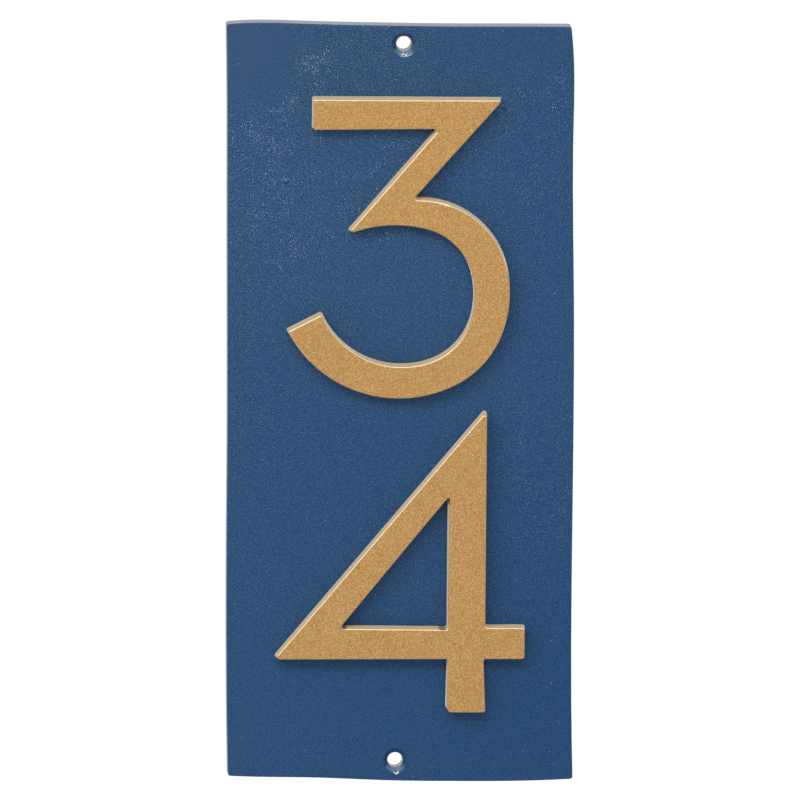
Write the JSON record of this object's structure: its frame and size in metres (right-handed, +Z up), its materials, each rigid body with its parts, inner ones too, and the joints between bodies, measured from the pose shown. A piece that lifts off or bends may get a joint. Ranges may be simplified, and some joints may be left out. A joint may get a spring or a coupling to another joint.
{
  "type": "wall plaque",
  "caption": "Thin upright cast wall plaque for a house number: wavy-edged flat plate, raised drafted numerals one above the other, and a countersunk screw hole near each end.",
  "frame": {"origin": "middle of the flat back of the plate, where it lies against the wall", "axes": "+Z up along the plate's length, +Y into the wall, -Y out of the face towards the viewer, +X to the viewer's right"},
  "size_m": [0.1174, 0.0124, 0.256],
  "materials": {
    "plate_paint": "satin blue coat over the fine grain of a sand casting",
    "numeral_paint": "satin metallic gold paint with a fine grain"
  },
  "bodies": {
    "root": {"plate": "plate_paint", "numeral_3": "numeral_paint", "numeral_4": "numeral_paint"}
  },
  "joints": []
}
